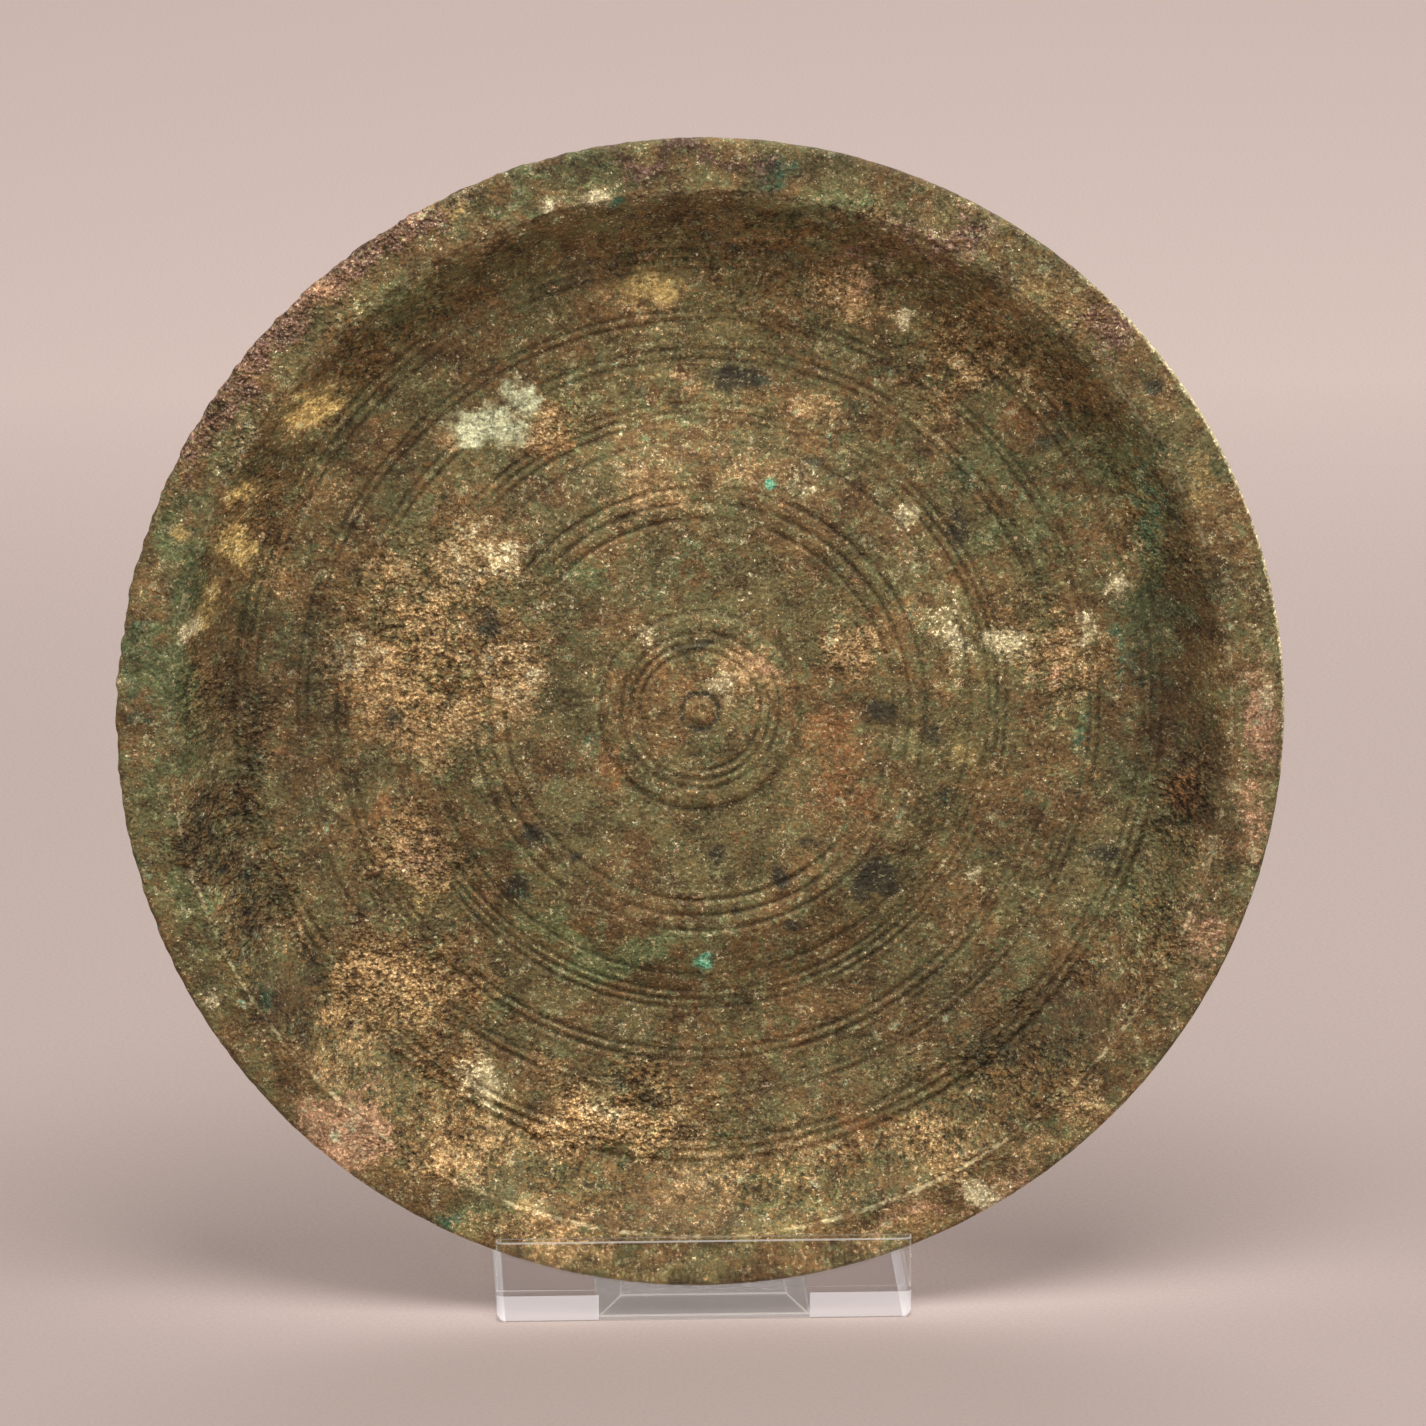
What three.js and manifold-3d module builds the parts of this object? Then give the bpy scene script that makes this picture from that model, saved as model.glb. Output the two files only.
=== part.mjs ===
// Ancient bronze disc mirror, decorated side to the front, upright in a clear acrylic display stand.
// Millimetres and degrees. +Z is up, the decorated side faces -Y, the origin is at the bottom centre.
import * as THREE from 'three';
import { mergeVertices } from 'three/addons/utils/BufferGeometryUtils.js';
import Module from 'manifold-3d';

const wasm = await Module();
wasm.setup();

// Mirror: outline and section
const mirrorDiameter = 170;
const rimWidth = 7.5;
const rimThickness = 2.4;
const rimFall = 0.5;
const rimBevel = 0.6;
const ledgeWidth = 1.1;
const ledgeDrop = 0.5;
const wallRun = 8.1;
const wallCurve = 1.4;
const dishDepth = 8.7;
const bodyThickness = 2.2;
const backBulge = 2.2;

// Mirror: the turned field inside the wall, in shares of the field's radius and of the dish's depth
const centreDepth = 0.805;
const crownFall = 0.138;
const shelfDrop = 0.241;
const shelfStart = 0.48;
const shelfEnd = 0.66;
const footStart = 0.78;

// Mirror: the raised disc in the middle, and the lathe's centre mark on it
const discShare = 0.202;
const discRise = 0.45;
const discFlank = 0.9;
const bossRadius = 2;
const bossTop = 1.2;
const bossRise = 0.55;
const dimpleRadius = 0.5;
const dimpleDepth = 0.3;
const moatWidth = 0.7;
const moatDepth = 0.2;

// Mirror: groups of turned grooves, with first and pitch as shares of the field's radius
const ringGroups = [
  { first: 0.1294, grooves: 2, pitch: 0.0199, depth: 0.25 },
  { first: 0.4157, grooves: 3, pitch: 0.0336, depth: 0.35 },
  { first: 0.6223, grooves: 3, pitch: 0.0187, depth: 0.3 },
  { first: 0.7545, grooves: 2, pitch: 0.0221, depth: 0.3 },
  { first: 0.8388, grooves: 2, pitch: 0.0199, depth: 0.3 },
  { first: 0.9508, grooves: 3, pitch: 0.0224, depth: 0.45 },
];

// Stand
const standWidth = 61;
const lipThickness = 2.3;
const lipRise = 8.2;
const channelWidth = 31;
const channelHeight = 3.3;
const channelFlank = 45;
const webThickness = 0.7;
const tailDepth = 25;
const cornerRound = 1.3;
const restWidth = 24;
const restThickness = 3;
const restRise = 60;
const restCorner = 5;

// How the mirror sits in the stand
const leanBack = 4;
const clearance = 0.2;

// Smoothness of round shapes
const latheSteps = 72;
const wallSteps = 4;
const backSteps = 5;
const cornerSteps = 5;

// How far cutting shapes run past what they cut
const overcut = 2;
const mergeTolerance = 1e-4;

const mirrorRadius = mirrorDiameter / 2;
const rimInner = mirrorRadius - rimWidth;
const fieldRadius = rimInner - ledgeWidth - wallRun;
const edgeBevel = Math.min(rimBevel, rimThickness / 3);
const seatHeight = channelHeight + webThickness;
const lean = THREE.MathUtils.degToRad(leanBack);
const flank = THREE.MathUtils.degToRad(channelFlank);

const bronze = new THREE.MeshStandardMaterial({ color: 0x5d5638, roughness: 0.85, metalness: 0.25 });
const acrylic = new THREE.MeshStandardMaterial({
  color: 0xdfe6ea, roughness: 0.08, metalness: 0, transparent: true, opacity: 0.35,
});

// Depth of the field's smooth form below the rim: a low crown, a shelf down, then up to the wall's foot
function fieldDepth(radius) {
  const share = radius / fieldRadius;
  const shelf = THREE.MathUtils.smoothstep(share, shelfStart, shelfEnd);
  const foot = THREE.MathUtils.smoothstep(share, footStart, 1);
  const footRise = centreDepth + crownFall + shelfDrop - 1;
  return dishDepth * (centreDepth + crownFall * share * share + shelfDrop * shelf - footRise * foot);
}

// A group of grooves as ridge, groove, ridge points, each a radius and a depth below the rim
function grooveGroup({ first, grooves, pitch, depth }) {
  const points = [];
  for (let i = -1; i < 2 * grooves; i += 1) {
    const radius = (first + (i * pitch) / 2) * fieldRadius;
    const cut = i % 2 === 0 ? depth : 0;
    points.push([radius, fieldDepth(radius) + cut]);
  }
  return points;
}

// The centre mark: a small boss with a dimple, in a shallow moat
function centreMark() {
  const discDepth = fieldDepth(0) - discRise;
  const top = discDepth - bossRise;
  return [
    [0, top + dimpleDepth],
    [dimpleRadius, top + dimpleDepth],
    [bossTop, top],
    [bossRadius, discDepth + moatDepth],
    [bossRadius + moatWidth, discDepth],
  ];
}

// The raised disc's rings and its edge, which steps down to the field
function raisedDisc(rings, discRadius) {
  const middle = discRadius + discFlank / 2;
  const outer = discRadius + discFlank;
  return [
    ...rings.map(([radius, depth]) => [radius, depth - discRise]),
    [discRadius, fieldDepth(discRadius) - discRise],
    [middle, fieldDepth(middle) + discRise / 3],
    [outer, fieldDepth(outer)],
  ];
}

// The curved wall from the field's edge up to the ledge
function wall() {
  const points = [];
  for (let i = 0; i <= wallSteps; i += 1) {
    const share = i / wallSteps;
    points.push([
      fieldRadius + wallRun * share,
      ledgeDrop + (dishDepth - ledgeDrop) * (1 - share ** wallCurve),
    ]);
  }
  return points;
}

// Front surface from the axis to the edge
function frontProfile() {
  const discRadius = discShare * fieldRadius;
  const rings = ringGroups.flatMap(grooveGroup);
  return [
    ...centreMark(),
    ...raisedDisc(rings.filter(([radius]) => radius < discRadius), discRadius),
    ...rings.filter(([radius]) => radius > discRadius + discFlank),
    ...wall(),
    [rimInner, ledgeDrop],
    [rimInner, 0],
    [mirrorRadius - edgeBevel, rimFall],
    [mirrorRadius, rimFall + edgeBevel],
  ];
}

// Back surface from the edge to the axis: flange, wall, and the gently bulging reflecting face
function backProfile() {
  const flange = rimFall + rimThickness;
  const points = [
    [mirrorRadius, flange - edgeBevel],
    [mirrorRadius - edgeBevel, flange],
    [rimInner + bodyThickness / 2, flange],
  ];
  for (let i = backSteps; i >= 0; i -= 1) {
    const share = i / backSteps;
    points.push([fieldRadius * share, dishDepth + bodyThickness + backBulge * (1 - share * share)]);
  }
  return points;
}

// The closed section as radius and height, with the rim's front plane at height 0 and the front up
function mirrorSection() {
  const outline = [...frontProfile(), ...backProfile()].reverse();
  return outline.map(([radius, depth]) => new THREE.Vector2(radius, -depth));
}

// Where the mirror's centre goes, for its rim to clear the seat and the lip
function mirrorCentre(section) {
  const reachDown = section.map((p) => p.x * Math.cos(lean) - p.y * Math.sin(lean));
  const reachForward = section.map((p) => p.x * Math.sin(lean) + p.y * Math.cos(lean));
  return new THREE.Vector3(
    0,
    Math.max(...reachForward) + clearance,
    Math.max(...reachDown) + clearance + seatHeight,
  );
}

function buildMirror(section, centre) {
  const mesh = new THREE.Mesh(new THREE.LatheGeometry(section, latheSteps), bronze);
  mesh.name = 'bronze_mirror';
  mesh.rotation.x = Math.PI - lean;
  mesh.position.copy(centre);
  return mesh;
}

// A geometry as a solid for cutting and joining
function solidOf(geometry) {
  const bare = geometry.clone();
  bare.deleteAttribute('normal');
  bare.deleteAttribute('uv');
  const merged = mergeVertices(bare, mergeTolerance);
  return new wasm.Manifold(new wasm.Mesh({
    numProp: 3,
    vertProperties: new Float32Array(merged.attributes.position.array),
    triVerts: new Uint32Array(merged.index.array),
  }));
}

function geometryOf(solid) {
  const mesh = solid.getMesh();
  const geometry = new THREE.BufferGeometry();
  geometry.setAttribute('position', new THREE.BufferAttribute(new Float32Array(mesh.vertProperties), 3));
  geometry.setIndex(new THREE.BufferAttribute(new Uint32Array(mesh.triVerts), 1));
  const faceted = geometry.toNonIndexed();
  faceted.computeVertexNormals();
  return faceted;
}

// A rectangle between two corners, with all its corners rounded
function roundedRectangle(left, bottom, right, top, radius) {
  const quarter = Math.PI / 2;
  const shape = new THREE.Shape();
  shape.absarc(right - radius, bottom + radius, radius, -quarter, 0);
  shape.absarc(right - radius, top - radius, radius, 0, quarter);
  shape.absarc(left + radius, top - radius, radius, quarter, 2 * quarter);
  shape.absarc(left + radius, bottom + radius, radius, 2 * quarter, 3 * quarter);
  return shape;
}

// An outline drawn in two of the axes, carried along the third by a turn of the extrusion
function extrude(shape, length, across, up, along) {
  const settings = { depth: length, bevelEnabled: false, curveSegments: cornerSteps };
  const turn = new THREE.Matrix4().makeBasis(across, up, along);
  return new THREE.ExtrudeGeometry(shape, settings).applyMatrix4(turn);
}

// A front outline in x and z, between two depths
function frontOutline(shape, front, back) {
  const axes = [new THREE.Vector3(1, 0, 0), new THREE.Vector3(0, 0, 1), new THREE.Vector3(0, -1, 0)];
  return solidOf(extrude(shape, back - front, ...axes).translate(0, back, 0));
}

// A side outline in y and z, equally to both sides of x = 0
function sideOutline(shape, width) {
  const axes = [new THREE.Vector3(0, 1, 0), new THREE.Vector3(0, 0, 1), new THREE.Vector3(1, 0, 0)];
  return solidOf(extrude(shape, width, ...axes).translate(-width / 2, 0, 0));
}

// A plan in x and y, between two heights
function planOutline(shape, bottom, top) {
  const axes = [new THREE.Vector3(1, 0, 0), new THREE.Vector3(0, 1, 0), new THREE.Vector3(0, 0, 1)];
  return solidOf(extrude(shape, top - bottom, ...axes).translate(0, 0, bottom));
}

// A point at a height on the leaning plane that lies a depth behind the rim's front plane
function leaningPoint(centre, depth, height) {
  const below = (centre.z - depth * Math.sin(lean) - height) / Math.cos(lean);
  return new THREE.Vector2(centre.y - below * Math.sin(lean) + depth * Math.cos(lean), height);
}

// Base slab and front lip, with rounded upright and outer bottom edges
function baseWithLip(front, back) {
  const half = standWidth / 2;
  const top = seatHeight + lipRise;
  const upright = Math.min(cornerRound, lipThickness / 2);
  const side = new THREE.Shape([
    new THREE.Vector2(front, 0),
    new THREE.Vector2(back, 0),
    new THREE.Vector2(back, seatHeight),
    new THREE.Vector2(0, seatHeight),
    new THREE.Vector2(0, top),
    new THREE.Vector2(front, top),
  ]);
  const face = roundedRectangle(-half, 0, half, top + cornerRound + overcut, cornerRound);
  const plan = roundedRectangle(-half, front, half, back, upright);
  return sideOutline(side, standWidth + overcut)
    .intersect(frontOutline(face, front - overcut, back + overcut))
    .intersect(planOutline(plan, -overcut, top + overcut));
}

// The trapezoid channel under the base, from the lip's inner face out through the back
function channel(back) {
  const half = channelWidth / 2;
  const inset = channelHeight / Math.tan(flank);
  const flare = overcut / Math.tan(flank);
  const outline = new THREE.Shape([
    new THREE.Vector2(-half - flare, -overcut),
    new THREE.Vector2(half + flare, -overcut),
    new THREE.Vector2(half - inset, channelHeight),
    new THREE.Vector2(-half + inset, channelHeight),
  ]);
  return frontOutline(outline, 0, back + overcut);
}

// The leaning plate behind the mirror, rooted in the base, with rounded top corners
function backRest(centre, near, far) {
  const half = restWidth / 2;
  const root = channelHeight + webThickness / 2;
  const top = seatHeight + restRise;
  const corner = Math.min(restCorner, restWidth / 3);
  const side = new THREE.Shape([
    leaningPoint(centre, near, root),
    leaningPoint(centre, far, root),
    leaningPoint(centre, far, top),
    leaningPoint(centre, near, top),
  ]);
  const front = leaningPoint(centre, near, root).x - overcut;
  const back = leaningPoint(centre, far, top).x + overcut;
  const face = roundedRectangle(-half, root - corner - overcut, half, top, corner);
  return sideOutline(side, restWidth + overcut).intersect(frontOutline(face, front, back));
}

function buildStand(section, centre) {
  const near = Math.max(...section.map((p) => -p.y)) + clearance;
  const far = near + restThickness;
  const front = -lipThickness;
  const back = leaningPoint(centre, far, seatHeight).x + tailDepth;
  const solid = baseWithLip(front, back)
    .add(backRest(centre, near, far))
    .subtract(channel(back));
  const mesh = new THREE.Mesh(geometryOf(solid), acrylic);
  mesh.name = 'acrylic_stand';
  return mesh;
}

const section = mirrorSection();
const centre = mirrorCentre(section);
const model = new THREE.Group();
model.add(buildMirror(section, centre));
model.add(buildStand(section, centre));

// The origin goes to the bottom centre of the whole
model.updateMatrixWorld(true);
const box = new THREE.Box3().setFromObject(model, true);
const middle = box.getCenter(new THREE.Vector3());
model.position.set(-middle.x, -middle.y, -box.min.z);

export default model;
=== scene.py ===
"""Looks of an ancient bronze disc mirror that stands upright in a clear acrylic stand."""
import math

import bmesh
import bpy
import numpy as np
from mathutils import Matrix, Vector


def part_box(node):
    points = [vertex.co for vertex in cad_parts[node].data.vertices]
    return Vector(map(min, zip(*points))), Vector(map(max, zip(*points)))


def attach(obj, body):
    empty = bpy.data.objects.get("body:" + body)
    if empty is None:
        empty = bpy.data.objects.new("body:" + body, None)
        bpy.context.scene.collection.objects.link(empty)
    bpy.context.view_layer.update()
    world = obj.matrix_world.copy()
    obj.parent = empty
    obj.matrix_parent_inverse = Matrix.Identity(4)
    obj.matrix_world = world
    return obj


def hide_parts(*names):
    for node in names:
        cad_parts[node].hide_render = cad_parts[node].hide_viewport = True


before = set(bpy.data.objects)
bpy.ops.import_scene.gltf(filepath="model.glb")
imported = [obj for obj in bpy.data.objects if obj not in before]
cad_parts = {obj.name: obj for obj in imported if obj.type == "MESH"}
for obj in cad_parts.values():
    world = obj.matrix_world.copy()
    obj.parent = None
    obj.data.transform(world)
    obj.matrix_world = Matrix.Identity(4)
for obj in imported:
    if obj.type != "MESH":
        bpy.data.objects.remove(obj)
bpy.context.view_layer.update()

MM = 0.001

# Mirror section in millimetres: outline, dish, turned field and centre mark
RADIUS = 85.0
RIM_WIDTH = 7.5
RIM_THICKNESS = 2.4
RIM_FALL = 0.5
EDGE_BEVEL = 0.6
LEDGE_WIDTH = 1.1
LEDGE_DROP = 0.5
WALL_RUN = 8.1
WALL_CURVE = 1.4
DISH_DEPTH = 8.7
BODY_THICKNESS = 2.2
BACK_BULGE = 2.2
LEAN = math.radians(4)

CENTRE_DEPTH = 0.805
CROWN_FALL = 0.138
SHELF_DROP = 0.241
SHELF_START, SHELF_END, FOOT_START = 0.48, 0.66, 0.78
DISC_SHARE, DISC_RISE, DISC_FLANK = 0.202, 0.45, 0.9
BOSS_RADIUS, BOSS_RISE = 2.0, 0.55
DIMPLE_RADIUS, DIMPLE_DEPTH = 0.8, 0.35
MOAT_RADIUS, MOAT_WIDTH, MOAT_DEPTH = 2.5, 0.5, 0.2

RIM_INNER = RADIUS - RIM_WIDTH
WALL_TOP = RIM_INNER - LEDGE_WIDTH
FIELD = WALL_TOP - WALL_RUN
DISC_RADIUS = DISC_SHARE * FIELD

# Ring groups: first groove and pitch as shares of the field's radius, depth in millimetres
RINGS = [
    {"first": 0.1294, "grooves": 3, "pitch": 0.0199, "depth": 0.32},
    {"first": 0.4157, "grooves": 3, "pitch": 0.0336, "depth": 0.32},
    {"first": 0.5825, "grooves": 1, "pitch": 0.0180, "depth": 0.2},
    {"first": 0.6223, "grooves": 3, "pitch": 0.0187, "depth": 0.28},
    {"first": 0.7545, "grooves": 2, "pitch": 0.0221, "depth": 0.28},
    {"first": 0.8388, "grooves": 2, "pitch": 0.0199, "depth": 0.26},
    {"first": 0.9508, "grooves": 3, "pitch": 0.0224, "depth": 0.38},
]
# A groove's half width as a share of its pitch, at most so many millimetres, and its low burrs
GROOVE_SHARE, GROOVE_MOST = 0.26, 0.36
BURR_AWAY, BURR_SHARE = 2.0, 0.4

# Distances in millimetres between the mesh's rings of points
STEP_FINE, STEP_COARSE, STEP_RIM, STEP_BACK = 0.32, 0.84, 0.85, 1.8
# How many points a ring has, and above which radius
POINTS_ABOVE = ((720, 43), (360, 21), (180, 10), (90, 4.5))
POINTS_LEAST = 45


def smoothstep(low, high, value):
    share = np.clip((value - low) / (high - low), 0, 1)
    return share * share * (3 - 2 * share)


# Noise, the same on every run

def hashed(ix, iy, seed):
    """A number from 0 to 1 for each lattice point."""
    mask = np.uint64(0xFFFFFFFF)
    h = ix.astype(np.int64).astype(np.uint64) * np.uint64(374761393)
    h = h + iy.astype(np.int64).astype(np.uint64) * np.uint64(668265263)
    h = (h + np.uint64(seed * 974711)) & mask
    h = ((h ^ (h >> np.uint64(13))) * np.uint64(1274126177)) & mask
    h = h ^ (h >> np.uint64(16))
    return (h & mask).astype(float) / 0xFFFFFFFF


def value_noise(u, v, size, seed):
    """Smooth noise from 0 to 1, with features of a size in millimetres."""
    x, y = u / size, v / size
    ix, iy = np.floor(x), np.floor(y)
    fx, fy = x - ix, y - iy
    fx, fy = fx * fx * (3 - 2 * fx), fy * fy * (3 - 2 * fy)
    low = hashed(ix, iy, seed) * (1 - fx) + hashed(ix + 1, iy, seed) * fx
    high = hashed(ix, iy + 1, seed) * (1 - fx) + hashed(ix + 1, iy + 1, seed) * fx
    return low * (1 - fy) + high * fy


def fractal(u, v, size, seed, octaves=4):
    """Several noises on top of each other, from 0 to 1."""
    total, weight, norm = 0.0, 1.0, 0.0
    for i in range(octaves):
        turn = 0.6 * (i + 1)
        x = u * math.cos(turn) - v * math.sin(turn)
        y = u * math.sin(turn) + v * math.cos(turn)
        total = total + weight * value_noise(x, y, size / 2 ** i, seed + 17 * i)
        norm += weight
        weight *= 0.55
    return total / norm


def grains(u, v, size, seed):
    """Rounded lumps packed side by side, 1 at a lump's top and 0 between lumps."""
    x, y = u / size, v / size
    ix, iy = np.floor(x), np.floor(y)
    nearest = np.full(np.shape(x), 9.0)
    for dx in (-1, 0, 1):
        for dy in (-1, 0, 1):
            px = ix + dx + hashed(ix + dx, iy + dy, seed)
            py = iy + dy + hashed(ix + dx, iy + dy, seed + 5)
            reach = 0.75 + 0.5 * hashed(ix + dx, iy + dy, seed + 9)
            nearest = np.minimum(nearest, np.hypot(px - x, py - y) / reach)
    return np.clip(1 - nearest * nearest * 1.6, 0, 1)


# Form of the mirror, as depths below the rim's front plane

def field_depth(r):
    share = r / FIELD
    shelf = smoothstep(SHELF_START, SHELF_END, share)
    foot = smoothstep(FOOT_START, 1, share)
    foot_rise = CENTRE_DEPTH + CROWN_FALL + SHELF_DROP - 1
    shape = CENTRE_DEPTH + CROWN_FALL * share ** 2 + SHELF_DROP * shelf - foot_rise * foot
    return DISH_DEPTH * shape


def front_depth(r):
    """The clean turned form from the centre to the edge, without the rings."""
    disc = DISC_RISE * (1 - smoothstep(DISC_RADIUS, DISC_RADIUS + DISC_FLANK, r))
    boss = BOSS_RISE * (1 - smoothstep(0.55 * BOSS_RADIUS, BOSS_RADIUS, r))
    dimple = DIMPLE_DEPTH * (1 - smoothstep(0.4 * DIMPLE_RADIUS, 1.4 * DIMPLE_RADIUS, r))
    moat = MOAT_DEPTH * np.exp(-((r - MOAT_RADIUS) / MOAT_WIDTH) ** 2)
    inside = field_depth(np.minimum(r, FIELD)) - disc - boss + dimple + moat
    climb = np.clip((r - FIELD) / WALL_RUN, 0, 1)
    wall = LEDGE_DROP + (DISH_DEPTH - LEDGE_DROP) * (1 - climb ** WALL_CURVE)
    rim = RIM_FALL * np.clip((r - RIM_INNER) / (RADIUS - EDGE_BEVEL - RIM_INNER), 0, 1)
    rim = rim + np.clip(r - (RADIUS - EDGE_BEVEL), 0, EDGE_BEVEL)
    depth = np.where(r <= FIELD, inside, wall)
    return np.where(r >= RIM_INNER, rim, depth)


def ring_relief(r):
    """Depth cut by the turned grooves, with a low burr on each side."""
    cut = np.zeros_like(r)
    for group in RINGS:
        pitch = group["pitch"] * FIELD
        width = min(GROOVE_SHARE * pitch, GROOVE_MOST)
        for i in range(group["grooves"]):
            away = np.abs(r - (group["first"] + i * group["pitch"]) * FIELD)
            groove = np.exp(-(away / width) ** 2)
            burr = np.exp(-((away - BURR_AWAY * width) / width) ** 2)
            cut += group["depth"] * (groove - BURR_SHARE * burr)
    return cut


def front_radii():
    """Radii of the front's rings of points, close together where the relief is fine."""
    spans = [(0, 3.6), (DISC_RADIUS - 0.3, DISC_RADIUS + DISC_FLANK + 0.9)]
    for group in RINGS:
        pitch = group["pitch"] * FIELD
        start = group["first"] * FIELD
        spans.append((start - 0.8 * pitch, start + (group["grooves"] - 0.2) * pitch))
    radii = [STEP_FINE]
    while radii[-1] < RIM_INNER - 0.5:
        near = any(low <= radii[-1] <= high for low, high in spans)
        radii.append(radii[-1] + (STEP_FINE if near else STEP_COARSE))
    radii[-1] = RIM_INNER - 0.45
    radii += [RIM_INNER - 0.12, RIM_INNER + 0.04, RIM_INNER + 0.4]
    while radii[-1] < RADIUS - EDGE_BEVEL - 0.5:
        radii.append(radii[-1] + STEP_RIM)
    radii[-1] = RADIUS - EDGE_BEVEL - 0.25
    return radii + [RADIUS - EDGE_BEVEL, RADIUS - 0.5 * EDGE_BEVEL, RADIUS - 0.12 * EDGE_BEVEL]


def points_around(r):
    for count, above in POINTS_ABOVE:
        if r > above:
            return count
    return POINTS_LEAST


def mirror_rings():
    """Every ring of points in order from the front's centre over the edge to the back's centre."""
    rings = []
    for r in front_radii():
        depth = float(front_depth(np.array(r)))
        rings.append({"r": r, "depth": depth, "side": "front", "n": points_around(r)})
    around = points_around(RADIUS)
    flange = RIM_FALL + RIM_THICKNESS
    front_edge = RIM_FALL + EDGE_BEVEL
    for share in (0.15, 0.5, 0.85):
        depth = front_edge + share * (flange - 0.5 * EDGE_BEVEL - front_edge)
        rings.append({"r": RADIUS, "depth": depth, "side": "edge", "n": around})
    rings.append({"r": RADIUS - 0.4 * EDGE_BEVEL, "depth": flange - 0.12, "side": "back", "n": around})
    back = [(RADIUS - 1.2 * EDGE_BEVEL - 0.3, flange)]
    outer = RIM_INNER + BODY_THICKNESS / 2
    flange_steps, wall_steps = 3, 9
    for i in range(1, flange_steps + 1):
        back.append((back[0][0] + (outer + 0.6 - back[0][0]) * i / flange_steps, flange))
    foot = DISH_DEPTH + BODY_THICKNESS
    for i in range(1, wall_steps):
        share = i / wall_steps
        turn = 0.5 - 0.5 * math.cos(math.pi * share)
        mixed = 0.45 * turn + 0.55 * share
        back.append((outer + (FIELD - outer) * share, flange + (foot - flange) * mixed))
    r = FIELD - 0.9
    while r > 1.2:
        back.append((r, foot + BACK_BULGE * (1 - (r / FIELD) ** 2)))
        r -= STEP_BACK
    for r, depth in back:
        count = max(POINTS_LEAST, points_around(r) // 2)
        rings.append({"r": r, "depth": depth, "side": "back", "n": count})
    return rings


def stitch(rings):
    """Triangles and four-sided faces between neighbouring rings of points, and a fan at each centre."""
    starts = np.concatenate([[0], np.cumsum([ring["n"] for ring in rings])])
    faces = []
    first_centre = int(starts[-1])
    n = rings[0]["n"]
    faces += [(first_centre, i, (i + 1) % n) for i in range(n)]
    for k in range(len(rings) - 1):
        a, b = int(starts[k]), int(starts[k + 1])
        na, nb = rings[k]["n"], rings[k + 1]["n"]
        if na == nb:
            faces += [(a + i, b + i, b + (i + 1) % nb, a + (i + 1) % na) for i in range(na)]
        elif nb == 2 * na:
            for i in range(na):
                j = (i + 1) % na
                faces.append((a + i, b + 2 * i, b + 2 * i + 1))
                faces.append((a + i, b + 2 * i + 1, a + j))
                faces.append((a + j, b + 2 * i + 1, b + (2 * i + 2) % nb))
        elif na == 2 * nb:
            for i in range(nb):
                j = (i + 1) % nb
                faces.append((a + 2 * i, b + i, a + 2 * i + 1))
                faces.append((a + 2 * i + 1, b + i, b + j))
                faces.append((a + 2 * i + 1, b + j, a + (2 * i + 2) % na))
        else:
            raise ValueError("neighbouring rings must have as many points, or twice as many")
    last = int(starts[len(rings) - 1])
    n = rings[-1]["n"]
    faces += [(first_centre + 1, last + (i + 1) % n, last + i) for i in range(n)]
    return faces


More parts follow.
